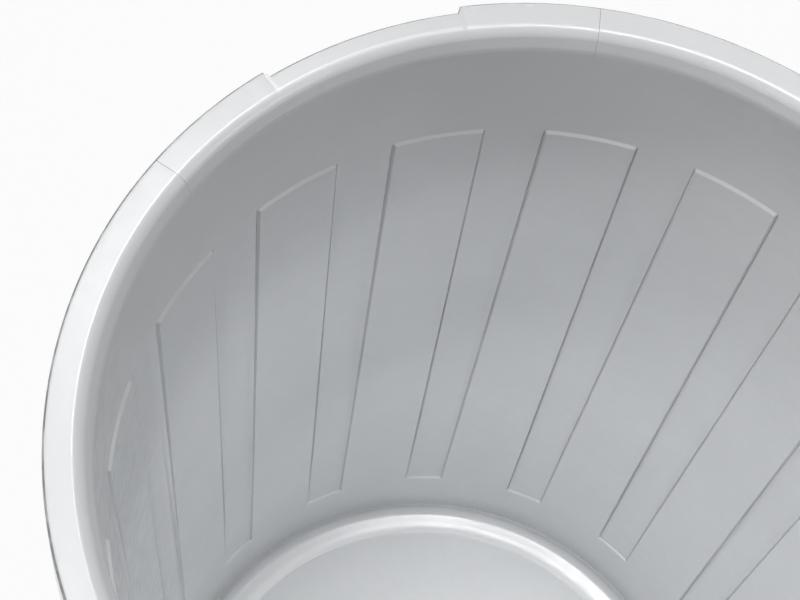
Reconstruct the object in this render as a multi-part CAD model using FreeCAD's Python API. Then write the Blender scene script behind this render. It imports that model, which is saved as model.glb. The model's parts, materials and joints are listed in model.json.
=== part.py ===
"""Round utility trash can: a stepped tapered tub, a rim in four stretches and two swing handles.

Millimetres, +Z up, origin on the ground under the middle of the can. The handles are on the X axis.
"""
import FreeCAD
import Part
import math
import os

# Overall size
can_height = 692.0            # ground to the flat land on top of the rim
rim_outer_diameter = 559.0    # over the full-width stretches of the rim

# Wall of the tub
rim_overhang = 25.5           # outer edge of the rim to the inside of the wall, both at the top
wall_taper = 29.2             # how far each side of the wall leans in from the rim to the ground
wall_thickness = 3.5
panel_step = 2.0              # how far the panels stand inside the strips
panel_width = 56.5
panel_pitch = 98.0            # spacing of the panels round the mouth
panel_top_drop = 97.6         # top of the rim to the ledge above the panels
strip_foot_height = 58.3      # ground to the ledge under the strips
ledge_rise = 1.0              # slope of each ledge over one step

# Base of the tub
groove_height = 2.5           # ground to the groove at the foot of the wall, at its unrounded corner
shoulder_run = 8.0            # groove to the shoulder round the floor, at their unrounded corners
shoulder_height = 10.5        # ground to the shoulder, at its unrounded corner
slope_width = 13.5            # sloping ring inside the shoulder
slope_drop = 2.9
border_width = 7.5            # nearly flat ring inside the slope
border_drop = 0.65
floor_step = 0.6              # fine step from the border down to the floor
floor_thickness = 3.5
foot_width = 10.5             # foot ring, from its inner edge to the outside of the wall
heel_round = 6.0
groove_round = 1.5
shoulder_round = 10.0
foot_round = 1.5

# Rim
rim_wall = 3.5
lip_height = 15.4             # top of the tub's wall to the land of the rim
lip_run = 6.0                 # width of the sloping lip, seen from above
lip_drop = 14.8               # height of the sloping lip
ridge_round = 8.0             # lip to land
collar_round = 5.0            # land to collar, underneath
land_edge_round = 1.5
skirt_depth = 38.0
grip_width = 125.0            # stretch of rim that is set back for a hand
grip_setback = 4.5
grip_stretch_width = 284.0    # seam to seam, round the set-back stretch
seam_gap = 0.4
collar_depth = 24.0           # land to the foot of the collar round the tub's wall
seat_clearance = 0.3

# Flange of the tub and its screws
flange_thickness = 4.0
flange_clearance = 0.5
flange_round = 2.0
screw_spacing = 140.0
screw_diameter = 4.0
screw_length = 15.0
screw_head_diameter = 8.0
screw_head_height = 2.4
screw_socket_diameter = 3.0
screw_socket_depth = 1.4
screw_fit = 0.05
screw_hole_clearance = 0.3
boss_diameter = 9.6

# Handles
pivot_drop = 52.0             # land of the rim to the pivots
pivot_standoff = 5.0          # set-back edge of the rim to the pivots
handle_drop = 72.0            # pivots to the middle of the grip
handle_span = 120.0           # over the outsides of the legs
leg_thickness = 8.0
leg_eye_diameter = 18.0
grip_diameter = 20.0

# Ears and pivots
ear_thickness = 8.0
ear_eye_diameter = 20.0
ear_root_drop = 34.0          # pivot down to the foot of the ear on the wall
ear_clearance = 0.4
pin_diameter = 6.0
pin_fit = 0.02
pin_running_clearance = 0.06
pin_head_diameter = 12.0
pin_head_height = 2.5
pin_tail = 1.5
retainer_diameter = 13.0
retainer_thickness = 2.5

# Spare length of every cut past the face that it leaves
overrun = 5.0

# Places that follow from the sizes above
full_turn = 360.0
half_turn = 180.0
rim_radius = rim_outer_diameter / 2
mouth_radius = rim_radius - rim_overhang
setback_radius = rim_radius - grip_setback
tub_top = can_height - lip_height
flange_top = can_height - collar_depth
flange_bottom = flange_top - flange_thickness
skirt_bottom = can_height - skirt_depth
panel_top = can_height - panel_top_drop
panel_count = 2 * round(math.pi * mouth_radius / panel_pitch)
pivot_x = setback_radius + pivot_standoff
pivot_z = can_height - pivot_drop
grip_z = pivot_z - handle_drop
leg_outer = handle_span / 2
leg_inner = leg_outer - leg_thickness
ear_inner = leg_outer + ear_clearance
ear_outer = ear_inner + ear_thickness
retainer_outer = leg_inner - ear_clearance
retainer_inner = retainer_outer - retainer_thickness
grip_angle = math.degrees(math.asin(grip_width / 2 / setback_radius))
seam_angle = math.degrees(math.asin(grip_stretch_width / 2 / rim_radius))
seam_half_gap = math.degrees(seam_gap / 2 / rim_radius)
web_angle = math.degrees(rim_wall / rim_radius)


def strip_inside(height):
    """Inside radius of the strips between the panels, and of the band above the panels."""
    return mouth_radius - wall_taper * (1 - height / can_height)


def panel_inside(height):
    """Inside radius of the panels, and of the band below the strips."""
    return strip_inside(height) - panel_step


def strip_outside(height):
    """Outside radius of the strips and of the band above the panels."""
    return strip_inside(height) + wall_thickness


def panel_outside(height):
    """Outside radius of the panels and of the band below the strips."""
    return panel_inside(height) + wall_thickness


collar_inside = strip_outside(tub_top) + seat_clearance
collar_outside = collar_inside + rim_wall
flange_radius = setback_radius - rim_wall - flange_clearance
screw_circle = (collar_outside + flange_radius) / 2


def about_z(shape, degrees):
    """A copy of the shape turned about the axis of the can."""
    turned = shape.copy()
    turned.rotate(FreeCAD.Vector(), FreeCAD.Vector(0, 0, 1), degrees)
    return turned


def corner(radius, height, rounding=0):
    """A corner of an upright section: its place, and the radius that rounds it."""
    return FreeCAD.Vector(radius, 0, height), rounding


def section_face(corners):
    """Upright face whose outline runs through the corners, rounded where they say so."""
    joints = []
    for index, (place, rounding) in enumerate(corners):
        to_last = (corners[index - 1][0] - place).normalize()
        to_next = (corners[(index + 1) % len(corners)][0] - place).normalize()
        half_angle = to_last.getAngle(to_next) / 2
        reach = rounding / math.tan(half_angle)
        bisector = (to_last + to_next).normalize() if rounding else to_last
        middle = place + bisector * (rounding / math.sin(half_angle) - rounding)
        joints.append((place + to_last * reach, middle, place + to_next * reach, rounding))
    edges = []
    for index, (start, middle, end, rounding) in enumerate(joints):
        if rounding:
            edges.append(Part.Arc(start, middle, end).toShape())
        next_start = joints[(index + 1) % len(joints)][0]
        edges.append(Part.LineSegment(end, next_start).toShape())
    return Part.Face(Part.Wire(edges))


def ring(corners, start=0, sweep=full_turn):
    """Solid turned about the axis of the can from an upright section."""
    solid = section_face(corners).revolve(FreeCAD.Vector(), FreeCAD.Vector(0, 0, 1), sweep)
    return about_z(solid, start)


def rod(diameter, length, base, direction):
    """Round bar from its base along a direction."""
    return Part.makeCylinder(diameter / 2, length, base, direction)


def mirrored_pair(shape):
    """The shape and its mirror image across the plane between front and back."""
    return [shape, shape.mirror(FreeCAD.Vector(), FreeCAD.Vector(0, 1, 0))]


def panel_copies(section):
    """One block per panel: a turned section, cut to the width of a panel."""
    reach = rim_radius
    slab = Part.makeBox(reach, panel_width, can_height, FreeCAD.Vector(0, -panel_width / 2, 0))
    block = ring(section).common(slab)
    pitch = full_turn / panel_count
    return [about_z(block, (index + 1 / 2) * pitch) for index in range(panel_count)]


def tub_shell():
    """Tub with strips all the way round, before its panels are pressed in."""
    outer_ledge = strip_foot_height - wall_thickness
    shoulder_radius = panel_inside(groove_height) - shoulder_run
    slope_radius = shoulder_radius - slope_width
    floor_radius = slope_radius - border_width
    slope_height = shoulder_height - slope_drop
    border_height = slope_height - border_drop
    floor_height = border_height - floor_step
    inner_ledge_top = strip_foot_height + ledge_rise
    outer_ledge_top = outer_ledge + ledge_rise
    return ring([
        corner(0, floor_height - floor_thickness),
        corner(floor_radius, floor_height - floor_thickness),
        corner(shoulder_radius - floor_thickness / 2, shoulder_height - floor_thickness, foot_round),
        corner(panel_outside(0) - foot_width, 0, foot_round),
        corner(panel_outside(0), 0, heel_round),
        corner(panel_outside(outer_ledge), outer_ledge),
        corner(strip_outside(outer_ledge_top), outer_ledge_top),
        corner(strip_outside(flange_bottom), flange_bottom, flange_round),
        corner(flange_radius, flange_bottom),
        corner(flange_radius, flange_top),
        corner(strip_outside(flange_top), flange_top),
        corner(strip_outside(tub_top), tub_top),
        corner(strip_inside(tub_top), tub_top),
        corner(strip_inside(inner_ledge_top), inner_ledge_top),
        corner(panel_inside(strip_foot_height), strip_foot_height),
        corner(panel_inside(groove_height), groove_height, groove_round),
        corner(shoulder_radius, shoulder_height, shoulder_round),
        corner(slope_radius, slope_height),
        corner(floor_radius + floor_step, border_height),
        corner(floor_radius, floor_height),
        corner(0, floor_height),
    ])


def panel_backs():
    """What the panels add on the inside of the wall."""
    ledge_top = panel_top + ledge_rise
    half_wall = wall_thickness / 2
    return panel_copies([
        corner(panel_inside(strip_foot_height), strip_foot_height),
        corner(panel_inside(panel_top), panel_top),
        corner(strip_inside(ledge_top), ledge_top),
        corner(strip_inside(ledge_top) + half_wall, ledge_top),
        corner(strip_inside(strip_foot_height) + half_wall, strip_foot_height),
    ])


def panel_pockets():
    """What the panels take away on the outside of the wall."""
    low = strip_foot_height - wall_thickness
    high = panel_top - wall_thickness
    ledge_top = high + ledge_rise
    return panel_copies([
        corner(panel_outside(low), low),
        corner(panel_outside(high), high),
        corner(strip_outside(ledge_top), ledge_top),
        corner(strip_outside(ledge_top) + overrun, ledge_top),
        corner(strip_outside(low) + overrun, low),
    ])


def ear():
    """Back ear of the right handle, rooted in the wall of the tub."""
    eye_radius = ear_eye_diameter / 2
    root_x = strip_inside(pivot_z - ear_root_drop) - ear_outer
    outline = Part.makePolygon([
        FreeCAD.Vector(root_x, ear_inner, pivot_z + eye_radius),
        FreeCAD.Vector(pivot_x, ear_inner, pivot_z + eye_radius),
        FreeCAD.Vector(pivot_x, ear_inner, pivot_z - eye_radius),
        FreeCAD.Vector(root_x, ear_inner, pivot_z - ear_root_drop),
        FreeCAD.Vector(root_x, ear_inner, pivot_z + eye_radius),
    ])
    plate = Part.Face(outline).extrude(FreeCAD.Vector(0, ear_thickness, 0))
    back = FreeCAD.Vector(0, 1, 0)
    eye = rod(ear_eye_diameter, ear_thickness, FreeCAD.Vector(pivot_x, ear_inner, pivot_z), back)
    hole = rod(pin_diameter + 2 * pin_fit, ear_thickness + 2 * overrun,
               FreeCAD.Vector(pivot_x, ear_inner - overrun, pivot_z), back)
    inside = Part.makeCone(strip_inside(0), strip_inside(can_height), can_height)
    return plate.fuse(eye).cut([hole, inside])


def screw_angles(start, sweep):
    """Directions of the screws along one stretch of rim, evenly spread."""
    arc = math.radians(sweep) * screw_circle
    count = max(1, round(arc / screw_spacing))
    return [start + sweep * (index + 1 / 2) / count for index in range(count)]


def on_screw_circle(shape, angles):
    """Copies of a shape that was made on the X side, at each screw direction."""
    return [about_z(shape, angle) for angle in angles]


def rim_stretches():
    """Start and sweep of each stretch of rim between seams, by node name."""
    short_start = -seam_angle + seam_half_gap
    short_sweep = 2 * seam_angle - 2 * seam_half_gap
    long_start = seam_angle + seam_half_gap
    long_sweep = half_turn - 2 * seam_angle - 2 * seam_half_gap
    return {
        "rim_right": (short_start, short_sweep),
        "rim_back": (long_start, long_sweep),
        "rim_left": (half_turn + short_start, short_sweep),
        "rim_front": (half_turn + long_start, long_sweep),
    }


def all_screw_angles():
    """Directions of all the screws round the rim."""
    return [angle for start, sweep in rim_stretches().values() for angle in screw_angles(start, sweep)]


def make_tub():
    """Wall, base, screw flange and handle ears in one moulding."""
    wall = tub_shell().fuse(panel_backs()).cut(panel_pockets())
    right_ears = mirrored_pair(ear())
    left_ears = [about_z(shape, half_turn) for shape in right_ears]
    hole = rod(screw_diameter + 2 * screw_hole_clearance, flange_thickness + 2 * overrun,
               FreeCAD.Vector(screw_circle, 0, flange_bottom - overrun), FreeCAD.Vector(0, 0, 1))
    holes = on_screw_circle(hole, all_screw_angles())
    return wall.fuse(right_ears + left_ears).cut(holes).removeSplitter()


def rim_section(outer_radius):
    """Corners of the rim's section: sloping lip, land, skirt and the collar on the flange."""
    land_underside = can_height - rim_wall
    return [
        corner(strip_inside(tub_top), tub_top),
        corner(strip_inside(tub_top), can_height - lip_drop),
        corner(strip_inside(tub_top) + lip_run, can_height, ridge_round),
        corner(outer_radius, can_height, land_edge_round),
        corner(outer_radius, skirt_bottom),
        corner(outer_radius - rim_wall, skirt_bottom),
        corner(outer_radius - rim_wall, land_underside),
        corner(collar_outside, land_underside, collar_round),
        corner(collar_outside, flange_top),
        corner(collar_inside, flange_top),
        corner(collar_inside, tub_top),
    ]


def screw_bosses(start, sweep):
    """Bosses under the land that stand on the flange, and the bores that take the screws."""
    up = FreeCAD.Vector(0, 0, 1)
    foot = FreeCAD.Vector(screw_circle, 0, flange_top)
    boss = rod(boss_diameter, can_height - rim_wall / 2 - flange_top, foot, up)
    bore = rod(screw_diameter + 2 * screw_fit, screw_length - flange_thickness, foot, up)
    angles = screw_angles(start, sweep)
    return on_screw_circle(boss, angles), on_screw_circle(bore, angles)


def make_plain_rim(start, sweep):
    """Long stretch of rim, full width all along."""
    bosses, bores = screw_bosses(start, sweep)
    return ring(rim_section(rim_radius), start, sweep).fuse(bosses).cut(bores).removeSplitter()


def make_grip_rim(start, sweep):
    """Short stretch of rim over a handle, set back across the width of a hand."""
    middle = start + sweep / 2
    shoulder = sweep / 2 - grip_angle
    web_inner = setback_radius - rim_wall
    web = [
        corner(web_inner, skirt_bottom),
        corner(web_inner, can_height - rim_wall / 2),
        corner(rim_radius - land_edge_round, can_height - rim_wall / 2),
        corner(rim_radius - land_edge_round, skirt_bottom),
    ]
    pieces = [
        ring(rim_section(rim_radius), start, shoulder),
        ring(rim_section(rim_radius), middle + grip_angle, shoulder),
        ring(web, middle - grip_angle - web_angle, web_angle),
        ring(web, middle + grip_angle, web_angle),
    ]
    bosses, bores = screw_bosses(start, sweep)
    grip = ring(rim_section(setback_radius), middle - grip_angle, 2 * grip_angle)
    return grip.fuse(pieces + bosses).cut(bores).removeSplitter()


def make_screws():
    """Screws that hold the rim from under the flange."""
    up = FreeCAD.Vector(0, 0, 1)
    head_bottom = flange_bottom - screw_head_height
    shank = rod(screw_diameter, screw_length, FreeCAD.Vector(screw_circle, 0, flange_bottom), up)
    head = rod(screw_head_diameter, screw_head_height, FreeCAD.Vector(screw_circle, 0, head_bottom), up)
    socket = rod(screw_socket_diameter, screw_socket_depth + overrun,
                 FreeCAD.Vector(screw_circle, 0, head_bottom - overrun), up)
    screw = shank.fuse(head).cut(socket).removeSplitter()
    return Part.makeCompound(on_screw_circle(screw, all_screw_angles()))


def handle_leg():
    """Back leg of the right handle, from its eye at the pivot down to the grip."""
    back = FreeCAD.Vector(0, 1, 0)
    top = FreeCAD.Vector(pivot_x, leg_inner, pivot_z)
    bottom = FreeCAD.Vector(pivot_x, leg_inner, grip_z)
    half_eye = leg_eye_diameter / 2
    half_grip = grip_diameter / 2
    outline = Part.makePolygon([
        FreeCAD.Vector(pivot_x - half_eye, leg_inner, pivot_z),
        FreeCAD.Vector(pivot_x + half_eye, leg_inner, pivot_z),
        FreeCAD.Vector(pivot_x + half_grip, leg_inner, grip_z),
        FreeCAD.Vector(pivot_x - half_grip, leg_inner, grip_z),
        FreeCAD.Vector(pivot_x - half_eye, leg_inner, pivot_z),
    ])
    plate = Part.Face(outline).extrude(FreeCAD.Vector(0, leg_thickness, 0))
    eye = rod(leg_eye_diameter, leg_thickness, top, back)
    foot = rod(grip_diameter, leg_thickness, bottom, back)
    return plate.fuse([eye, foot])


def make_handle():
    """Right handle: two legs, and a grip between them, hanging from its pivots."""
    back = FreeCAD.Vector(0, 1, 0)
    grip = rod(grip_diameter, 2 * leg_inner, FreeCAD.Vector(pivot_x, -leg_inner, grip_z), back)
    bore = rod(pin_diameter + 2 * pin_running_clearance, handle_span + 2 * overrun,
               FreeCAD.Vector(pivot_x, -leg_outer - overrun, pivot_z), back)
    return grip.fuse(mirrored_pair(handle_leg())).cut(bore).removeSplitter()


def make_pin():
    """Back pivot pin of the right handle, with its head against the ear."""
    front = FreeCAD.Vector(0, -1, 0)
    length = ear_outer - retainer_inner + pin_tail
    shank = rod(pin_diameter, length, FreeCAD.Vector(pivot_x, ear_outer, pivot_z), front)
    head = rod(pin_head_diameter, pin_head_height,
               FreeCAD.Vector(pivot_x, ear_outer + pin_head_height, pivot_z), front)
    return shank.fuse(head).removeSplitter()


def make_retainer():
    """Push-on ring that keeps the back pin of the right handle in its ear."""
    back = FreeCAD.Vector(0, 1, 0)
    base = FreeCAD.Vector(pivot_x, retainer_inner, pivot_z)
    disc = rod(retainer_diameter, retainer_thickness, base, back)
    return disc.cut(rod(pin_diameter + 2 * pin_fit, retainer_thickness, base, back))


def make_nodes():
    """Every sub-part of the can in its place, by node name."""
    handle = make_handle()
    right_pins = mirrored_pair(make_pin())
    right_retainers = mirrored_pair(make_retainer())
    left_retainers = [about_z(shape, half_turn) for shape in right_retainers]
    nodes = {
        "tub": make_tub(),
        "rim_screws": make_screws(),
        "handle_right": handle,
        "handle_left": about_z(handle, half_turn),
        "pin_right_back": right_pins[0],
        "pin_right_front": right_pins[1],
        "pin_left_front": about_z(right_pins[0], half_turn),
        "pin_left_back": about_z(right_pins[1], half_turn),
        "pin_retainers": Part.makeCompound(right_retainers + left_retainers),
    }
    for name, (start, sweep) in rim_stretches().items():
        make_rim = make_grip_rim if name in ("rim_left", "rim_right") else make_plain_rim
        nodes[name] = make_rim(start, sweep)
    return nodes


def main():
    """Write one file per sub-part."""
    os.makedirs("parts", exist_ok=True)
    for name, shape in make_nodes().items():
        print(name, "solids", len(shape.Solids), "valid", shape.isValid(), "volume", round(shape.Volume))
        shape.exportStep("parts/" + name + ".step")


main()
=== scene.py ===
# %% [markdown]
# A round utility trash can, dressed for the camera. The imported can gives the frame: every length is
# in metres, the ground is at zero, and the two handles lie along X. Each step below first says what
# the piece is on the real can, then makes it.

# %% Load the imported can
import bmesh
import bpy
import json
import math
from mathutils import Matrix, Vector


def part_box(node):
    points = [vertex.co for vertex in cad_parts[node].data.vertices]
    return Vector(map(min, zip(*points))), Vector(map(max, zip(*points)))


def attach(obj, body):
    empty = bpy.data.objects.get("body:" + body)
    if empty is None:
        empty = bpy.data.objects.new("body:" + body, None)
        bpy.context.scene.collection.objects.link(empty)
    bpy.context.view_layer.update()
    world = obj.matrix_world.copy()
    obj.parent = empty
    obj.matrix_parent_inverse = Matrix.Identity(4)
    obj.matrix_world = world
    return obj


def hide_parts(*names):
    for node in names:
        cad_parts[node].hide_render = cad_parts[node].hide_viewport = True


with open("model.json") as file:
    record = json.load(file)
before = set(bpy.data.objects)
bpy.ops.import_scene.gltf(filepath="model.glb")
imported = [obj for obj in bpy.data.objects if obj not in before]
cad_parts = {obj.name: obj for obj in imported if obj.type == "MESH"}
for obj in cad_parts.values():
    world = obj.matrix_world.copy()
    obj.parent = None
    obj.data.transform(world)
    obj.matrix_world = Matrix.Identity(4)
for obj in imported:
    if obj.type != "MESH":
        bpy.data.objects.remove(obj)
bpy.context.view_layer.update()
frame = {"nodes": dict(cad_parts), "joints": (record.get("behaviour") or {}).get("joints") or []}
print("packed nodes", sorted(frame["nodes"]))

# %% [markdown]
# The photograph looks steeply down into the can from the front right, through a long lens, with the
# picture tilted a little. The camera comes first, because every later step is judged through it. It
# could be set by one matrix, but its place, the direction it looks in and its tilt are easier to read.

# %% Camera
camera_place = Vector((0.2940, -0.3470, 1.6668))
camera_look = Vector((-0.3681, 0.2695, -0.8899))
camera_tilt = math.radians(12.55)
camera_lens_mm = 90.5
camera_sensor_mm = 36.0

camera_data = bpy.data.cameras.new("photo_camera")
camera_data.lens = camera_lens_mm
camera_data.sensor_width = camera_sensor_mm
camera = bpy.data.objects.new("photo_camera", camera_data)
bpy.context.scene.collection.objects.link(camera)
camera_turn = camera_look.to_track_quat("-Z", "Y").to_matrix() @ Matrix.Rotation(camera_tilt, 3, "Z")
camera.matrix_world = Matrix.Translation(camera_place) @ camera_turn.to_4x4()
bpy.context.scene.camera = camera
print("camera at", tuple(round(value, 3) for value in camera_place))

# %% [markdown]
# The can is lit as on a studio table. A wide softbox above does most of the work, and two smaller ones
# high on the left draw the bright line along the ridge of the rim. A box at the back and one low on the
# left even out the lip. Two weak panels in the mouth lift the wall inside. One large lamp would be
# simpler, but the rim is bright in the photograph and the inside soft, so each part has its own lamp.

# %% Light
scene = bpy.context.scene
scene.view_settings.view_transform = "Standard"
sheen_aim = (-0.15, -0.15, 0.69)


def lamp(name, kind, place, aim, power):
    """A lamp of that kind, turned to its aim. Returns its data, for its size and spread."""
    data = bpy.data.lights.new(name, kind)
    data.energy = power
    stand = bpy.data.objects.new(name, data)
    scene.collection.objects.link(stand)
    stand.location = place
    stand.rotation_euler = (Vector(aim) - Vector(place)).to_track_quat("-Z", "Y").to_euler()
    stand.visible_camera = False
    print(name, power, "watts at", tuple(round(value, 2) for value in place))
    return data


def softbox(name, place, aim, width, power, depth=None):
    """A round softbox of that width, or one as wide and as deep as said."""
    data = lamp(name, "AREA", place, aim, power)
    data.shape = "RECTANGLE" if depth else "DISK"
    data.size = width
    if depth:
        data.size_y = depth


softbox("top_box", (-0.42, 0.02, 2.90), (0.02, -0.22, 0.50), 1.40, 17.0, depth=0.70)
softbox("sheen_box", (-1.00, 0.50, 2.90), sheen_aim, 0.45, 8.0)
softbox("left_sheen_box", (-1.20, 0.20, 2.90), sheen_aim, 0.60, 4.6)
softbox("right_box", (0.53, 0.73, 1.50), (0.0, 0.0, 0.60), 0.50, 1.4)
softbox("low_box", (-0.42, -0.58, 0.98), (0.10, 0.10, 0.55), 0.34, 1.3)
softbox("mouth_fill", (-0.02, -0.03, 0.600), (0.14, 0.16, 0.15), 0.30, 0.155)
softbox("low_fill", (-0.04, -0.06, 0.360), (0.16, 0.17, 0.10), 0.24, 0.20)

# %% [markdown]
# The floor of the can lies deep inside, where the softboxes hardly reach. Three narrow beams fall on it
# from high above and leave a bright line on the rounded shoulder round it; spots do this, since their
# cones miss most of the rim. The outside of the wall has three boxes of its own. They stand lower than
# the rim, so that nothing of them gets into the mouth.

# %% Beams and outside boxes
beam_height = 4.00
beam_aim = (-0.05, 0.13, 0.0)
beam_cone = math.radians(6.8)
beam_blend = 0.4
beam_softness = 0.20
floor_beams = [(-0.45, -0.25, 42.0), (-0.30, 0.18, 30.0), (0.10, 0.51, 60.0)]
for number, (x, y, power) in enumerate(floor_beams):
    beam = lamp("floor_beam_%d" % number, "SPOT", (x, y, beam_height), beam_aim, power)
    beam.spot_size = beam_cone
    beam.spot_blend = beam_blend
    beam.shadow_soft_size = beam_softness

outside_boxes = 3
outside_distance = 2.0
outside_height = 0.36
outside_width = 0.60
outside_power = 6.0
for number in range(outside_boxes):
    turn = 2 * math.pi * (number + 0.25) / outside_boxes
    place = (outside_distance * math.cos(turn), outside_distance * math.sin(turn), outside_height)
    softbox("outside_box_%d" % number, place, (0.0, 0.0, outside_height), outside_width, outside_power)

# %% [markdown]
# Sizes that the pieces share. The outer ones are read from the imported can. The wall leans in towards
# the ground, and its panels stand one step inside the strips between them, so four short functions
# give the wall's radius at any height.

# %% Shared sizes
rim_low, rim_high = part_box("rim_front")
can_height = rim_high.z
rim_radius = -rim_low.y
skirt_bottom = rim_low.z
tub_top = can_height - 0.0154
mouth_radius = rim_radius - 0.0255
wall_taper = 0.0292
wall_thickness = 0.0035
panel_count = 16
panel_step = 0.0020
panel_width = 0.0565
panel_top = can_height - 0.0976
strip_foot = 0.0583
full_turn = 2 * math.pi


def strip_inside(height):
    """Inside radius of the strips and of the band above the panels."""
    return mouth_radius - wall_taper * (1 - height / can_height)


def panel_inside(height):
    """Inside radius of the panels and of the band below the strips."""
    return strip_inside(height) - panel_step


def strip_outside(height):
    """Outside radius of the strips and of the band above the panels."""
    return strip_inside(height) + wall_thickness


def panel_outside(height):
    """Outside radius of the panels and of the band below the strips."""
    return panel_inside(height) + wall_thickness


print("can", round(can_height, 4), "high, rim radius", round(rim_radius, 4))

# %% [markdown]
# The finishes, the room and the floor are made of shader nodes. Nodes can be wired one by one, but a
# recipe is easier to read as sums, so short helpers add a node, draw noise, carry a value from one span
# to another, join two values, and mix two colours.

# %% Node helpers


def add_node(tree, kind, **settings):
    """A node of that kind, with its properties set."""
    node = tree.nodes.new(kind)
    for key, value in settings.items():
        setattr(node, key, value)
    return node


def noise(tree, coordinates, scale, detail=2.0, stretch=(1.0, 1.0, 1.0)):
    """Noise of that many waves to the metre, stretched along the axes."""
    mapping = add_node(tree, "ShaderNodeMapping")
    mapping.inputs["Scale"].default_value = stretch
    tree.links.new(coordinates, mapping.inputs["Vector"])
    texture = add_node(tree, "ShaderNodeTexNoise")
    texture.inputs["Scale"].default_value = scale
    texture.inputs["Detail"].default_value = detail
    tree.links.new(mapping.outputs["Vector"], texture.inputs["Vector"])
    return texture.outputs["Fac"]


def span(tree, value, low, high, to_low=0.0, to_high=1.0):
    """The value, carried from one span to another and held at its ends."""
    node = add_node(tree, "ShaderNodeMapRange", clamp=True)
    node.interpolation_type = "SMOOTHSTEP"
    tree.links.new(value, node.inputs["Value"])
    for name, number in (("From Min", low), ("From Max", high), ("To Min", to_low), ("To Max", to_high)):
        node.inputs[name].default_value = number
    return node.outputs["Result"]


def combine(tree, operation, first, second):
    """Two values joined by a sum, product or the like; the second may be a plain number."""
    node = add_node(tree, "ShaderNodeMath", operation=operation)
    tree.links.new(first, node.inputs[0])
    if isinstance(second, (int, float)):
        node.inputs[1].default_value = second
    else:
        tree.links.new(second, node.inputs[1])
    return node.outputs["Value"]


def tint(tree, amount, first, second):
    """A colour between two, by the amount."""
    node = add_node(tree, "ShaderNodeMix", data_type="RGBA")
    tree.links.new(amount, node.inputs["Factor"])
    for socket, colour in ((node.inputs[6], first), (node.inputs[7], second)):
        if isinstance(colour, tuple):
            socket.default_value = colour
        else:
            tree.links.new(colour, socket)
    return node.outputs[2]


def looking_rays(tree):
    """1 for rays that look, from the camera, a mirror or glass, and 0 for light that falls on things."""
    rays = add_node(tree, "ShaderNodeLightPath")
    seen = combine(tree, "MAXIMUM", rays.outputs["Is Camera Ray"], rays.outputs["Is Glossy Ray"])
    return combine(tree, "MAXIMUM", seen, rays.outputs["Is Transmission Ray"])


print("node helpers ready")

# %% [markdown]
# The room is a world of even light. It shines weakly on the can, but the camera, mirrors and glass see
# it at full strength, which is white. A brighter room would be plainer, but it would wash out the soft
# shade inside the can, so Light Path tells these rays apart.

# %% Room
room_strength = 0.14
world = bpy.data.worlds.new("pale_room")
world.use_nodes = True
room_tree = world.node_tree
room = room_tree.nodes["Background"]
room.inputs["Color"].default_value = (1.0, 1.0, 1.0, 1.0)
room_level = combine(room_tree, "MAXIMUM", looking_rays(room_tree), room_strength)
room_tree.links.new(room_level, room.inputs["Strength"])
scene.world = world
print("room", room_strength)

# %% [markdown]
# Moulded polyethylene is a soft grey with a satin gloss. Close up it has a fine grain from the mould,
# a faint cloudiness in its colour, and dull rubbed marks where it meets other things. Pictures of
# plastic could be wrapped round the pieces. Here it is all drawn with noise on Object coordinates, so
# that it has a real size and stays put when a handle swings. One function makes the finish, and each
# piece passes in where it is rubbed.

# %% Polyethylene finish
bare_grey = 0.77
cloud_waves = 7.0
cloud_change = 0.025
fine_cloud_waves = 90.0
fine_cloud_shade = 0.96
rub_waves = 55.0
rub_shade = 0.93
rub_roughness = 0.18
# The dark grey of the painted shade on the rim's outer round, and the roughness added with it.
painted_shade_grey = 0.28
shade_line_roughness = 0.45
satin_low = 0.17
satin_high = 0.23
plastic_ior = 1.54
grain_waves = 1400.0
grain_share = 0.35
peel_waves = 160.0
bump_strength = 0.07
bump_depth = 0.0004


def grey(level, warmth=0.0):
    """A near-neutral grey, a touch cooler towards blue unless it is warmed."""
    return (level * (0.985 + warmth), level, level * (1.015 - warmth), 1.0)


def mould_grain(tree, coordinates):
    """The fine grain and the gentle waviness that a mould leaves, as a bumped normal."""
    grain = noise(tree, coordinates, grain_waves, 2.0)
    peel = noise(tree, coordinates, peel_waves, 1.0)
    bump = add_node(tree, "ShaderNodeBump")
    bump.inputs["Strength"].default_value = bump_strength
    bump.inputs["Distance"].default_value = bump_depth
    height = combine(tree, "ADD", combine(tree, "MULTIPLY", grain, grain_share), peel)
    tree.links.new(height, bump.inputs["Height"])
    return bump.outputs["Normal"]


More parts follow.
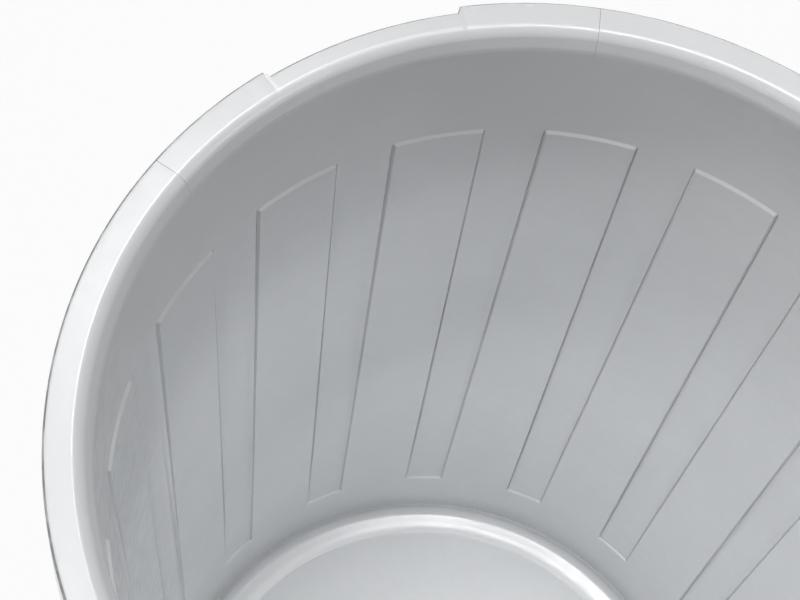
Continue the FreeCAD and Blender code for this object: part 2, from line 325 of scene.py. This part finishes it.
def polyethylene(name, level, rubbed, painted_shade_mask=None):
    """Satin grey moulded plastic. rubbed is 1 where it is worn; the last mask is 1 where shade is
    painted.
    """
    material = bpy.data.materials.new(name)
    material.use_nodes = True
    tree = material.node_tree
    shader = tree.nodes["Principled BSDF"]
    coordinates = add_node(tree, "ShaderNodeTexCoord").outputs["Object"]
    cloud = span(tree, noise(tree, coordinates, cloud_waves, 3.0), 0.35, 0.65)
    base = tint(tree, cloud, grey(level * (1 - cloud_change)), grey(level * (1 + cloud_change)))
    fine_cloud = noise(tree, coordinates, fine_cloud_waves, 2.0)
    fine_amount = span(tree, fine_cloud, 0.3, 0.7, 0.0, 0.35)
    base = tint(tree, fine_amount, base, grey(level * fine_cloud_shade))
    patches = span(tree, noise(tree, coordinates, rub_waves, 5.0), 0.5, 0.68)
    wear = combine(tree, "MULTIPLY", patches, rubbed(tree, coordinates))
    colour = tint(tree, combine(tree, "MULTIPLY", wear, 0.5), base, grey(level * rub_shade, 0.004))
    satin = span(tree, fine_cloud, 0.3, 0.7, satin_low, satin_high)
    roughness = combine(tree, "ADD", satin, combine(tree, "MULTIPLY", wear, rub_roughness))
    # Painted shade: where the last mask is 1 the colour goes to a dark grey, for the shade on the rim's
    # outer round.
    if painted_shade_mask:
        uneven = span(tree, fine_cloud, 0.2, 0.6, 0.6, 1.0)
        shade_amount = combine(tree, "MULTIPLY", painted_shade_mask(tree, coordinates), uneven)
        colour = tint(tree, shade_amount, colour, grey(level * painted_shade_grey))
        roughness = combine(tree, "ADD", roughness, combine(tree, "MULTIPLY", shade_amount, shade_line_roughness))
    shader.inputs["IOR"].default_value = plastic_ior
    tree.links.new(colour, shader.inputs["Base Color"])
    tree.links.new(roughness, shader.inputs["Roughness"])
    tree.links.new(mould_grain(tree, coordinates), shader.inputs["Normal"])
    return material


print("polyethylene of grey", bare_grey)

# %% [markdown]
# Each piece is rubbed in its own places: the foot of the tub where it is dragged, the outer edge of
# the rim where it is knocked, and the grip where hands close on it. Such marks could be painted by hand.
# Masks worked out from the Object coordinates need no painting, and follow the sizes of the can.
# A thin dark line on the round at the very edge of the rim is painted shade, drawn with such a mask.

# %% Worn places
foot_wear_height = 0.028
grip_wear_height = 0.030
edge_wear_width = 0.0035


def split(tree, coordinates):
    """The three Object coordinates as separate values."""
    node = add_node(tree, "ShaderNodeSeparateXYZ")
    tree.links.new(coordinates, node.inputs["Vector"])
    return node.outputs["X"], node.outputs["Y"], node.outputs["Z"]


def from_axis(tree, coordinates):
    """Distance from the axis of the can."""
    x, y, _ = split(tree, coordinates)
    square = combine(tree, "ADD", combine(tree, "MULTIPLY", x, x), combine(tree, "MULTIPLY", y, y))
    return combine(tree, "SQRT", square, 0.0)


def foot_rubbed(tree, coordinates):
    """The lowest band of the tub's outside, and what lies next to the ground."""
    begins, full = 0.0005, 0.0010
    ground_full, ground_ends = 0.0030, 0.0036
    height = split(tree, coordinates)[2]
    lean = combine(tree, "MULTIPLY", height, -wall_taper / can_height)
    upright = combine(tree, "ADD", from_axis(tree, coordinates), lean)
    outside = span(tree, combine(tree, "ADD", upright, -strip_inside(0.0)), begins, full)
    under = span(tree, height, ground_full, ground_ends, 1.0, 0.0)
    low = span(tree, height, 0.0, foot_wear_height, 1.0, 0.0)
    return combine(tree, "MAXIMUM", combine(tree, "MULTIPLY", outside, low), under)


def edge_rubbed(tree, coordinates):
    """The outer edge of the rim's land."""
    outside = span(tree, from_axis(tree, coordinates), rim_radius - 2 * edge_wear_width, rim_radius)
    above = span(tree, split(tree, coordinates)[2], can_height - edge_wear_width, can_height)
    return combine(tree, "MULTIPLY", outside, above)


def edge_painted_shade(tree, coordinates):
    """The round at the very edge of the land, where a thin dark line of painted shade is drawn."""
    starts, full, fades, ends = 0.00015, 0.00030, 0.0011, 0.0022
    land_in, land_out = 0.012, 0.014
    height = split(tree, coordinates)[2]
    below = span(tree, height, can_height - full, can_height - starts, 1.0, 0.0)
    above = span(tree, height, can_height - ends, can_height - fades)
    outside = span(tree, from_axis(tree, coordinates), mouth_radius + land_in, mouth_radius + land_out)
    return combine(tree, "MULTIPLY", combine(tree, "MULTIPLY", below, above), outside)


grip_low, grip_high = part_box("handle_right")


def grip_rubbed(tree, coordinates):
    """The lower part of a handle, where the grip is."""
    return span(tree, split(tree, coordinates)[2], grip_low.z, grip_low.z + grip_wear_height, 1.0, 0.0)


tub_plastic = polyethylene("tub_plastic", bare_grey, foot_rubbed)
# The rim's finish has painted shade: a dark line along the outer round of its land.
rim_plastic = polyethylene("rim_plastic", bare_grey, edge_rubbed, edge_painted_shade)
handle_plastic = polyethylene("handle_plastic", bare_grey, grip_rubbed)
print("finishes", [material.name for material in (tub_plastic, rim_plastic, handle_plastic)])

# %% [markdown]
# The pins, rings and screws are zinc-plated steel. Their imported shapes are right, so they keep their
# nodes and only get a finish: bright metal, clouded like plating, with fine turning marks. Modelling
# them again would add nothing, as they are small and mostly hidden.

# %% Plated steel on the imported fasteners
plating_waves = 260.0
turning_waves = 900.0
turning_stretch = (1.0, 6.0, 1.0)
dull_zinc = (0.52, 0.53, 0.55, 1.0)
bright_zinc = (0.68, 0.68, 0.66, 1.0)
plating = bpy.data.materials.new("fastener_steel")
plating.use_nodes = True
steel_tree = plating.node_tree
steel = steel_tree.nodes["Principled BSDF"]
steel.inputs["Metallic"].default_value = 1.0
steel_place = add_node(steel_tree, "ShaderNodeTexCoord").outputs["Object"]
steel_cloud = span(steel_tree, noise(steel_tree, steel_place, plating_waves, 3.0), 0.35, 0.65)
steel_marks = noise(steel_tree, steel_place, turning_waves, 2.0, turning_stretch)
steel_colour = tint(steel_tree, steel_cloud, dull_zinc, bright_zinc)
steel_tree.links.new(steel_colour, steel.inputs["Base Color"])
steel_tree.links.new(span(steel_tree, steel_marks, 0.3, 0.7, 0.26, 0.42), steel.inputs["Roughness"])

fastener_nodes = [name for name in frame["nodes"] if name.startswith("pin_") or name == "rim_screws"]
for name in fastener_nodes:
    node_object = frame["nodes"][name]
    node_object.data.materials.clear()
    node_object.data.materials.append(plating)
print("plated", sorted(fastener_nodes))

# %% [markdown]
# Most of the can is turned: one upright outline carried round the axis. The arcs of the outline could
# be typed point by point. It is shorter to give its few corners and let a vertex bevel round each one.
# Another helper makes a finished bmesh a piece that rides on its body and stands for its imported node.
# It first welds points that fell together, so that every mesh is closed and has no empty faces.

# %% Shape helpers
weld = 0.000002
round_steps = 8
sharp_angle = math.radians(40)


def outline(shape, corners, closed=True):
    """Upright outline through (radius, height, rounding) corners, as edges in the XZ plane."""
    points = [shape.verts.new((radius, 0.0, height)) for radius, height, _ in corners]
    for first, second in zip(points, points[1:]):
        shape.edges.new((first, second))
    if closed:
        shape.edges.new((points[-1], points[0]))
    for point, (_, _, rounding) in zip(points, corners):
        if rounding:
            bmesh.ops.bevel(shape, geom=[point], offset=rounding, segments=round_steps, profile=0.5,
                            affect="VERTICES", material=-1)
    bmesh.ops.remove_doubles(shape, verts=shape.verts, dist=weld)


def turn_on(shape, geometry, angle, steps):
    """Spins the last outline on about the axis of the can and returns the new last outline."""
    result = bmesh.ops.spin(shape, geom=geometry, cent=(0, 0, 0), axis=(0, 0, 1),
                            angle=angle, steps=steps)
    return result["geom_last"]


def turn_about_axis(shape, verts, angle):
    """Turns points about the axis of the can."""
    bmesh.ops.rotate(shape, verts=verts, cent=(0, 0, 0), matrix=Matrix.Rotation(angle, 3, "Z"))


def finish_piece(shape, name, body, material, node):
    """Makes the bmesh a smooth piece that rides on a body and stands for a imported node."""
    bmesh.ops.remove_doubles(shape, verts=shape.verts, dist=weld)
    bmesh.ops.dissolve_degenerate(shape, dist=weld, edges=shape.edges)
    bmesh.ops.recalc_face_normals(shape, faces=shape.faces)
    mesh = bpy.data.meshes.new(name)
    shape.to_mesh(mesh)
    shape.free()
    mesh.shade_smooth()
    mesh.set_sharp_from_angle(angle=sharp_angle)
    mesh.materials.append(material)
    piece = bpy.data.objects.new(name, mesh)
    scene.collection.objects.link(piece)
    even = piece.modifiers.new("even_shading", "WEIGHTED_NORMAL")
    even.keep_sharp = True
    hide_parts(node)
    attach(piece, body)
    print(name, len(mesh.polygons), "faces")


print("shape helpers ready")

# %% [markdown]
# The tub is one moulding: a tapered wall, a raised floor inside a foot ring, and a flange near the
# top that carries the rim. It is round, so it could be turned whole, but its panels break the round.
# They repeat every sixteenth of a turn, so one sector is made and copied. It starts as an outline at
# the level of the panels, up the outside and down the inside to the middle of the floor.

# %% Tub outline
ledge_rise = 0.0016
foot_rise = 0.0008
ledge_margin = 0.0030
groove_height = 0.0025
shoulder_radius = panel_inside(groove_height) - 0.0080
shoulder_height = 0.0105
slope_radius = shoulder_radius - 0.0135
slope_height = shoulder_height - 0.0029
floor_radius = slope_radius - 0.0075
border_height = slope_height - 0.00065
floor_step = 0.0006
floor_height = border_height - floor_step
floor_thickness = 0.0035
foot_width = 0.0105
flange_top = can_height - 0.0240
flange_bottom = flange_top - 0.0040
flange_radius = rim_radius - 0.0085
outer_foot = strip_foot - wall_thickness
outer_top = panel_top - wall_thickness

tub_corners = [
    (0.0, floor_height - floor_thickness, 0.0),
    (floor_radius, floor_height - floor_thickness, 0.0020),
    (shoulder_radius - floor_thickness / 2, shoulder_height - floor_thickness, 0.0012),
    (panel_outside(0.0) - foot_width, 0.0, 0.0009),
    (panel_outside(0.0), 0.0, 0.0058),
    (panel_outside(outer_foot - ledge_margin), outer_foot - ledge_margin, 0.0),
    (panel_outside(outer_foot), outer_foot, 0.0),
    (panel_outside(outer_foot + foot_rise), outer_foot + foot_rise, 0.0),
    (panel_outside(outer_top), outer_top, 0.0),
    (strip_outside(outer_top + ledge_rise), outer_top + ledge_rise, 0.0),
    (strip_outside(outer_top + ledge_rise + ledge_margin), outer_top + ledge_rise + ledge_margin, 0.0),
    (strip_outside(flange_bottom), flange_bottom, 0.0018),
    (flange_radius, flange_bottom, 0.0006),
    (flange_radius, flange_top, 0.0006),
    (strip_outside(flange_top), flange_top, 0.0),
    (strip_outside(tub_top), tub_top, 0.0),
    (strip_inside(tub_top), tub_top, 0.0),
    (strip_inside(panel_top + ledge_rise + ledge_margin), panel_top + ledge_rise + ledge_margin, 0.0),
    (strip_inside(panel_top + ledge_rise), panel_top + ledge_rise, 0.0),
    (panel_inside(panel_top), panel_top, 0.0),
    (panel_inside(strip_foot + foot_rise), strip_foot + foot_rise, 0.0),
    (panel_inside(strip_foot), strip_foot, 0.0),
    (panel_inside(strip_foot - ledge_margin), strip_foot - ledge_margin, 0.0),
    (panel_inside(groove_height), groove_height, 0.0010),
    (shoulder_radius, shoulder_height, 0.0054),
    (slope_radius, slope_height, 0.0030),
    (floor_radius + floor_step, border_height, 0.0003),
    (floor_radius, floor_height, 0.0003),
    (0.0, floor_height, 0.0),
]
tub = bmesh.new()
outline(tub, tub_corners, closed=False)
print("tub outline", len(tub.verts), "points")

# %% [markdown]
# A panel is a long flat field between two strips. Its sides have to be straight edges in the mesh, and
# the columns of a spin don't fall there. So the outline is turned through one sector, and flat cuts are
# made through the panel rows: at each edge of the panel, at the foot of its side, and past the crease.

# %% Tub sector
sector = full_turn / panel_count
sector_steps = 18
side_run = 0.0010
side_foot = panel_width / 2 + side_run
crease_width = 0.0008
tiny = 0.00002
turn_about_axis(tub, tub.verts, -sector / 2)
turn_on(tub, tub.verts[:] + tub.edges[:], sector, sector_steps)


def in_panel_rows(face):
    """True for the wall's faces between the ledge below the strips and the ledge above the panels."""
    return all(outer_foot - tiny < vert.co.z < panel_top + ledge_rise + tiny for vert in face.verts)


side_cuts = (panel_width / 2, side_foot, side_foot + crease_width)
for side in side_cuts + tuple(-cut for cut in side_cuts):
    rows = [face for face in tub.faces if in_panel_rows(face)]
    row_edges = list({edge for face in rows for edge in face.edges})
    row_verts = list({vert for face in rows for vert in face.verts})
    bmesh.ops.bisect_plane(tub, geom=rows + row_edges + row_verts, dist=tiny,
                           plane_co=(0, side, 0), plane_no=(0, 1, 0))
print("sector", len(tub.faces), "faces")

# %% [markdown]
# On the real can the strips lie a little outside the panels, inside and outside the wall alike. An inset
# and an extrusion would work on one face of the wall; moving the rows of points keeps both faces in
# step. A fine dark crease runs along one side of each panel, so the points there go a bit further out.

# %% Strips pushed out
crease_depth = 0.0004
strip_rows = [
    (panel_inside, strip_foot + foot_rise),
    (panel_inside, panel_top),
    (panel_outside, outer_foot + foot_rise),
    (panel_outside, outer_top),
]
for level, height in strip_rows:
    radius = level(height)
    row = [vert for vert in tub.verts
           if abs(vert.co.z - height) < tiny
           and abs(vert.co.xy.length - radius) < panel_step / 2
           and abs(vert.co.y) > side_foot - side_run / 2]
    grow = (radius + panel_step) / radius
    bmesh.ops.scale(tub, vec=(grow, grow, 1.0), verts=row)
    if level is panel_inside:
        foot = [vert for vert in row if abs(-vert.co.y / grow - side_foot) < crease_width / 2]
        deepen = 1 + crease_depth / (radius + panel_step)
        bmesh.ops.scale(tub, vec=(deepen, deepen, 1.0), verts=foot)
    print("pushed out", len(row), "points at height", round(height, 4))

# %% [markdown]
# The sector is copied round and its seams are merged, which closes the tub. A mould leaves no sharp
# edges, and the thin light on each ledge comes from its small round. A bevel on the whole tub would also
# blunt the crease, so only the edges of the panels and strips are picked.

# %% Tub closed and its ledges rounded
ledge_round = 0.0004
ledge_angle = math.radians(25)
copies = panel_count - 1
turn_about_axis(tub, tub.verts, sector / 2)
bmesh.ops.spin(tub, geom=tub.verts[:] + tub.edges[:] + tub.faces[:], cent=(0, 0, 0), axis=(0, 0, 1),
               angle=sector * copies, steps=copies, use_duplicate=True)
bmesh.ops.remove_doubles(tub, verts=tub.verts, dist=tiny)
bmesh.ops.recalc_face_normals(tub, faces=tub.faces)


def in_crease(edge):
    """True for an edge of the fine crease at the foot of a panel's side, on the inside of the wall."""
    middle = (edge.verts[0].co + edge.verts[1].co) / 2
    across = (math.atan2(middle.y, middle.x) % sector) - sector / 2
    beside = abs(middle.xy.length * math.sin(across)) - side_foot
    inside = middle.xy.length < strip_inside(middle.z) + wall_thickness * 0.6
    return inside and -side_run / 4 < beside < crease_width * 1.5


def on_ledge(edge):
    """True for a sharp edge of a panel or a strip."""
    low = min(vert.co.z for vert in edge.verts)
    high = max(vert.co.z for vert in edge.verts)
    in_rows = outer_foot - tiny < low and high < panel_top + ledge_rise + tiny
    sharp = edge.is_manifold and edge.calc_face_angle() > ledge_angle
    return in_rows and sharp and not in_crease(edge)


ledges = [edge for edge in tub.edges if on_ledge(edge)]
bmesh.ops.bevel(tub, geom=ledges, offset=ledge_round, segments=2, profile=0.5, affect="EDGES",
                material=-1)
print("tub", len(tub.faces), "faces, open edges", sum(edge.is_boundary for edge in tub.edges))

# %% [markdown]
# Four ears stand out from the wall below the rim, two to a handle. Each is a thick plate with a round
# end about the pivot and a long root on the wall. A scaled cube would be too plain, so a helper cuts the
# plate from a rounded outline, gives it its thickness by an extrusion, and eases its edges with a bevel,
# as a mould would. The same helper serves the legs of the handles.

# %% Ears
right_swing = next(joint for joint in frame["joints"] if joint["name"] == "right_handle_swing")
pivot = Vector(right_swing["pos_m"])
leg_outer = grip_high.y
ear_clearance = 0.0004
ear_inner = leg_outer + ear_clearance
ear_thickness = 0.0080
ear_round = 0.0100
ear_root_drop = 0.0185
ear_easing = 0.0012
bore_segments = 40
plate_angle = math.radians(60)


def moulded_plate(shape, corners, start, thickness, easing, hole=0.0, root=0.0):
    """Adds a plate across Y from an XZ outline of (x, z, rounding) corners; returns its points.

    A hole is bored at the pivot. Edges nearer to the axis than the root stay sharp, inside the wall.
    """
    before = set(shape.verts)
    draft = bmesh.new()
    outline(draft, corners)
    if hole:
        upright = Matrix.Translation((pivot.x, 0, pivot.z)) @ Matrix.Rotation(math.pi / 2, 4, "X")
        bmesh.ops.create_circle(draft, segments=bore_segments, radius=hole, matrix=upright)
    bmesh.ops.triangle_fill(draft, use_beauty=True, edges=draft.edges[:])
    pushed = bmesh.ops.extrude_face_region(draft, geom=draft.faces[:])["geom"]
    moved = [item for item in pushed if isinstance(item, bmesh.types.BMVert)]
    bmesh.ops.translate(draft, vec=(0, thickness, 0), verts=moved)
    bmesh.ops.translate(draft, vec=(0, start, 0), verts=draft.verts)
    bmesh.ops.recalc_face_normals(draft, faces=draft.faces)
    sharp = [edge for edge in draft.edges if edge.calc_face_angle() > plate_angle]
    outer = [edge for edge in sharp
             if from_pivot(edge) >= hole + tiny and max(vert.co.x for vert in edge.verts) > root]
    bmesh.ops.bevel(draft, geom=outer, offset=easing, segments=3, profile=0.5, affect="EDGES",
                    material=-1)
    plate = bpy.data.meshes.new("plate_draft")
    draft.to_mesh(plate)
    draft.free()
    shape.from_mesh(plate)
    bpy.data.meshes.remove(plate)
    return [vert for vert in shape.verts if vert not in before]


def from_pivot(edge):
    """Distance of an edge's middle from the axis of the pivot pins."""
    middle = (edge.verts[0].co + edge.verts[1].co) / 2
    return math.hypot(middle.x - pivot.x, middle.z - pivot.z)


def ear_root(height):
    """Place along X of the middle of the wall where an ear meets it."""
    wall_middle = strip_inside(height) + wall_thickness / 2
    return math.sqrt(wall_middle ** 2 - (ear_inner + ear_thickness / 2) ** 2)


ear_top = pivot.z + ear_round
ear_foot = pivot.z - ear_root_drop
ear_inmost = ear_root(ear_top) + tiny
ear_corners = [
    (ear_root(ear_top), ear_top, 0.0),
    (pivot.x + ear_round, ear_top, ear_round * 0.99),
    (pivot.x + ear_round, pivot.z - ear_round, ear_round * 0.95),
    (ear_root(ear_foot), ear_foot, 0.0),
]
for turned in (0.0, math.pi):
    for start in (ear_inner, -ear_inner - ear_thickness):
        ear = moulded_plate(tub, ear_corners, start, ear_thickness, ear_easing, root=ear_inmost)
        turn_about_axis(tub, ear, turned)
finish_piece(tub, "tub_moulding", "can", tub_plastic, "tub")

# %% [markdown]
# The rim is in four stretches, two long and two short. All have one section: a steep lip that leads
# into the mouth, a flat land, a skirt outside and a collar that stands on the flange. A bevelled curve
# could carry that section round, but a turned outline keeps exact radii and closed ends.

# %% Rim section
rim_wall = 0.0035
lip_run = 0.0060
lip_drop = 0.0125
lip_foot_round = 0.0027
edge_round = 0.0024
grip_setback = 0.0045
setback_radius = rim_radius - grip_setback
grip_width = 0.125
grip_half = math.asin(grip_width / 2 / setback_radius)
seam_width = 0.284
seam_half = math.asin(seam_width / 2 / rim_radius)
seam_gap = 0.00008
seam_half_gap = seam_gap / 2 / rim_radius
collar_clearance = 0.0003
collar_inside = strip_outside(tub_top) + collar_clearance
column = math.radians(1.25)

rim_corners = [
    (strip_inside(tub_top), tub_top, 0.0),
    (strip_inside(tub_top), can_height - lip_drop, lip_foot_round),
    (strip_inside(tub_top) + lip_run, can_height, 0.0054),
    (rim_radius, can_height, edge_round),
    (rim_radius, skirt_bottom, 0.0008),
    (rim_radius - rim_wall, skirt_bottom, 0.0008),
    (rim_radius - rim_wall, can_height - rim_wall, 0.0010),
    (collar_inside + rim_wall, can_height - rim_wall, 0.0050),
    (collar_inside + rim_wall, flange_top, 0.0),
    (collar_inside, flange_top, 0.0),
    (collar_inside, tub_top, 0.0),
]
print("grip", round(math.degrees(grip_half), 2), "degrees each way")
print("seam", round(math.degrees(seam_half), 2), "degrees each way")

# %% [markdown]
# The short stretches are set back for a hand: their skirt is drawn in over the middle, between two fine
# grooves. A cut with another solid would leave ragged edges on such thin steps. So the section is spun
# in parts, with a column of points at each place where the shape changes, and those points are moved.

# %% Rim stretches
groove_width = 0.0008
groove_depth = 0.0002
ramp_width = 0.0022
seam_round = 0.00022


def angle_of(vert):
    """Direction of a point about the axis of the can, from the middle of its stretch at +X."""
    return math.atan2(vert.co.y, vert.co.x)


def turned_stretch(breaks):
    """Rim section turned through the angles in breaks, evenly divided between them, with closed ends."""
    shape = bmesh.new()
    outline(shape, rim_corners)
    turn_about_axis(shape, shape.verts, breaks[0])
    last = shape.verts[:] + shape.edges[:]
    first_edges = shape.edges[:]
    for begin, end in zip(breaks, breaks[1:]):
        last = turn_on(shape, last, end - begin, max(1, round((end - begin) / column)))
    last_edges = [item for item in last if isinstance(item, bmesh.types.BMEdge)]
    ends = bmesh.ops.edgeloop_fill(shape, edges=first_edges)["faces"]
    ends += bmesh.ops.edgeloop_fill(shape, edges=last_edges)["faces"]
    bmesh.ops.recalc_face_normals(shape, faces=shape.faces)
    seams = list({edge for face in ends for edge in face.edges})
    bmesh.ops.bevel(shape, geom=seams, offset=seam_round, segments=2, profile=0.5, affect="EDGES",
                    material=-1)
    return shape


def grip_breaks():
    """Angles where a short stretch changes: seams, grooves, ramps and the set-back middle."""
    groove = groove_width / rim_radius
    ramp = ramp_width / rim_radius
    half = [grip_half - ramp, grip_half, grip_half + groove, grip_half + 2 * groove]
    half.append(seam_half - seam_half_gap)
    return [-angle for angle in reversed(half)] + half


def draw_in_grip(shape):
    """Draws the skirt in over the middle of a short stretch, and cuts its two grooves."""
    reach = grip_half - ramp_width / rim_radius / 2
    skirt = [vert for vert in shape.verts
             if abs(angle_of(vert)) < reach and vert.co.xy.length > setback_radius - rim_wall / 2]
    shrink = setback_radius / rim_radius
    bmesh.ops.scale(shape, vec=(shrink, shrink, 1.0), verts=skirt)
    groove_at = grip_half + groove_width / rim_radius
    bottom = [vert for vert in shape.verts
              if abs(abs(angle_of(vert)) - groove_at) < groove_width / rim_radius / 2
              and vert.co.z > can_height - lip_drop]
    bmesh.ops.translate(shape, vec=(0, 0, -groove_depth), verts=bottom)


short_turns = {"rim_right": 0.0, "rim_left": math.pi}
for name, turn in short_turns.items():
    stretch = turned_stretch(grip_breaks())
    draw_in_grip(stretch)
    turn_about_axis(stretch, stretch.verts, turn)
    finish_piece(stretch, name + "_moulding", "can", rim_plastic, name)

long_half = math.pi / 2 - seam_half - seam_half_gap
long_turns = {"rim_back": math.pi / 2, "rim_front": -math.pi / 2}
for name, turn in long_turns.items():
    stretch = turned_stretch([-long_half, long_half])
    turn_about_axis(stretch, stretch.verts, turn)
    finish_piece(stretch, name + "_moulding", "can", rim_plastic, name)

# %% [markdown]
# Each swing handle is one moulding with two flat legs and a round grip. It could be bent from one bar,
# but real legs are flat, with an eye for the pin. So the legs are plates like the ears, and the grip is
# a plain round bar that is sunk into them.

# %% Handles
leg_thickness = 0.0080
leg_eye = 0.0090
leg_easing = 0.0014
pin_bore = 0.00306
grip_radius = 0.0100
grip_segments = 48
grip_centre = grip_low.z + grip_radius
leg_inner = leg_outer - leg_thickness
leg_corners = [
    (pivot.x - leg_eye, pivot.z + leg_eye, leg_eye),
    (pivot.x + leg_eye, pivot.z + leg_eye, leg_eye),
    (pivot.x + grip_radius, grip_low.z, grip_radius),
    (pivot.x - grip_radius, grip_low.z, grip_radius),
]


def handle_shape():
    """Right handle at rest."""
    shape = bmesh.new()
    for start in (leg_inner, -leg_outer):
        moulded_plate(shape, leg_corners, start, leg_thickness, leg_easing, hole=pin_bore)
    reach = leg_inner + leg_thickness / 2
    bar = bmesh.ops.create_cone(shape, cap_ends=True, segments=grip_segments, radius1=grip_radius,
                                radius2=grip_radius, depth=2 * reach)["verts"]
    bmesh.ops.rotate(shape, verts=bar, cent=(0, 0, 0), matrix=Matrix.Rotation(math.pi / 2, 3, "X"))
    bmesh.ops.translate(shape, vec=(pivot.x, 0, grip_centre), verts=bar)
    return shape


for name, body, turn in (("handle_right", "right_handle", 0.0), ("handle_left", "left_handle", math.pi)):
    handle = handle_shape()
    turn_about_axis(handle, handle.verts, turn)
    finish_piece(handle, name + "_moulding", body, handle_plastic, name)

# %% [markdown]
# The can stands on a plain pale floor. A wide sheet with a white finish would look grey under these
# lamps. So most of what the camera sees of it is a white glow, and only a faint shadow of the can is
# left, as on the white ground of the photograph.

# %% Floor
floor_half = 6.0
floor_glow = 0.93
floor_grey = 0.86
floor_roughness = 0.9
ground = bmesh.new()
bmesh.ops.create_grid(ground, x_segments=1, y_segments=1, size=floor_half)
ground_mesh = bpy.data.meshes.new("studio_floor")
ground.to_mesh(ground_mesh)
ground.free()
ground_finish = bpy.data.materials.new("studio_floor")
ground_finish.use_nodes = True
ground_tree = ground_finish.node_tree
ground_shader = ground_tree.nodes["Principled BSDF"]
ground_shader.inputs["Base Color"].default_value = (floor_grey, floor_grey, floor_grey, 1.0)
ground_shader.inputs["Roughness"].default_value = floor_roughness
sheet_white = add_node(ground_tree, "ShaderNodeEmission")
sheet_white.inputs["Strength"].default_value = 1.0
glow = combine(ground_tree, "MULTIPLY", looking_rays(ground_tree), floor_glow)
sheet_mix = add_node(ground_tree, "ShaderNodeMixShader")
ground_tree.links.new(glow, sheet_mix.inputs["Fac"])
ground_tree.links.new(ground_shader.outputs["BSDF"], sheet_mix.inputs[1])
ground_tree.links.new(sheet_white.outputs["Emission"], sheet_mix.inputs[2])
ground_output = ground_tree.nodes["Material Output"]
ground_tree.links.new(sheet_mix.outputs["Shader"], ground_output.inputs["Surface"])
ground_mesh.materials.append(ground_finish)
ground_sheet = bpy.data.objects.new("studio_floor", ground_mesh)
scene.collection.objects.link(ground_sheet)
print("floor", 2 * floor_half, "metres wide")
